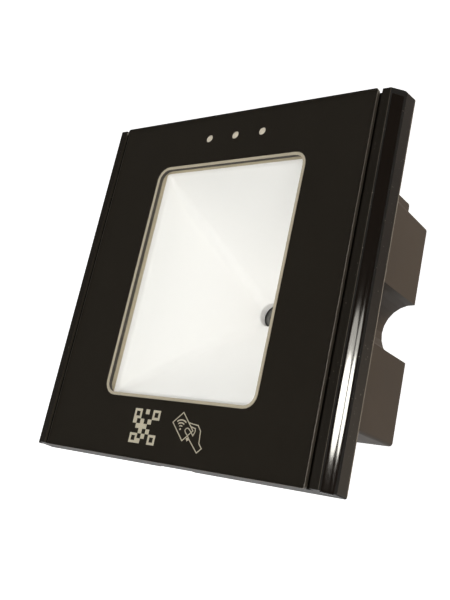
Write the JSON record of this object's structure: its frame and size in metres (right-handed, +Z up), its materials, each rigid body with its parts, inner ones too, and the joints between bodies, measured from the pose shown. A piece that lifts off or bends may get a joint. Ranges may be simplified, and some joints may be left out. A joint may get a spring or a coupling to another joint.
{
  "type": "qr code reader",
  "caption": "Flush wall-mounted code and card reader: glass front with a clear window over a white funnel and camera, in a square frame on a channelled back box.",
  "frame": {"origin": "centre of the frame's rear face, in the plane of the finished wall", "axes": "+Z up the wall, +Y into the wall, so the glass faces -Y, and +X to the right of a person who faces the reader"},
  "size_m": [0.086, 0.0404, 0.086],
  "materials": {
    "barrel_black": "moulded",
    "black_ink": "black screen print behind glass",
    "board_green": "solder mask",
    "board_white": "white solder mask",
    "can_metal": "satin can",
    "chip_black": "moulded epoxy",
    "connector_ivory": "moulded nylon",
    "flex_film": "amber film",
    "frame_plastic": "satin moulded",
    "gloss_trim": "high gloss",
    "housing_plastic": "fine texture moulded",
    "inductor_grey": "sintered",
    "lamp_resin": "clear resin",
    "lens_glass": "coated",
    "light_guide": "clear frosted",
    "panel_glass": "polished clear glass",
    "phosphor": "yellow phosphor resin",
    "pin_gold": "gold plated",
    "reflector_white": "diffuse white",
    "ring_ink": "pale champagne print",
    "screw_steel": "plated",
    "seal_foam": "closed cell foam",
    "sensor_glass": "dark cover glass",
    "sounder_case": "moulded",
    "spacer_brass": "turned",
    "tape": "black foam tape"
  },
  "bodies": {
    "base": {"antenna_board": "board_green", "antenna_connector": "connector_ivory", "antenna_screw_1": "screw_steel", "antenna_screw_2": "screw_steel", "antenna_screw_3": "screw_steel", "antenna_screw_4": "screw_steel", "board_link": "chip_black", "board_spacer_1": "spacer_brass", "board_spacer_2": "spacer_brass", "board_spacer_3": "spacer_brass", "board_spacer_4": "spacer_brass", "capacitor_1": "can_metal", "capacitor_2": "can_metal", "flex_cable": "flex_film", "illumination_board": "board_white", "illumination_lamp_1": "phosphor", "illumination_lamp_2": "phosphor", "illumination_lamp_3": "phosphor", "illumination_lamp_4": "phosphor", "illumination_screw_1": "screw_steel", "illumination_screw_2": "screw_steel", "illumination_screw_3": "screw_steel", "illumination_screw_4": "screw_steel", "image_sensor": "sensor_glass", "lens_barrel": "barrel_black", "lens_element": "lens_glass", "lens_holder": "barrel_black", "main_board": "board_green", "main_connector": "connector_ivory", "memory_chip": "chip_black", "power_inductor": "inductor_grey", "processor": "chip_black", "reader_chip": "chip_black", "rear_housing": "housing_plastic", "rear_socket": "connector_ivory", "reflector": "reflector_white", "reflector_screw_1": "screw_steel", "reflector_screw_2": "screw_steel", "reflector_screw_3": "screw_steel", "reflector_screw_4": "screw_steel", "socket_pin_1": "pin_gold", "socket_pin_2": "pin_gold", "socket_pin_3": "pin_gold", "socket_pin_4": "pin_gold", "sounder": "sounder_case", "status_lamp_left": "lamp_resin", "status_lamp_middle": "lamp_resin", "status_lamp_right": "lamp_resin", "window_seal": "seal_foam"},
    "front_cover": {"black_print": "black_ink", "front_frame": "frame_plastic", "glass_panel": "panel_glass", "glass_tape": "tape", "light_guide_left": "light_guide", "light_guide_middle": "light_guide", "light_guide_right": "light_guide", "trim_strip_left": "gloss_trim", "trim_strip_right": "gloss_trim", "window_ring": "ring_ink"}
  },
  "joints": [
    {"name": "front_cover_slide", "type": "slide", "parent": "base", "child": "front_cover", "axis": [0, -1, 0], "range_m": [0, 0.012]}
  ]
}
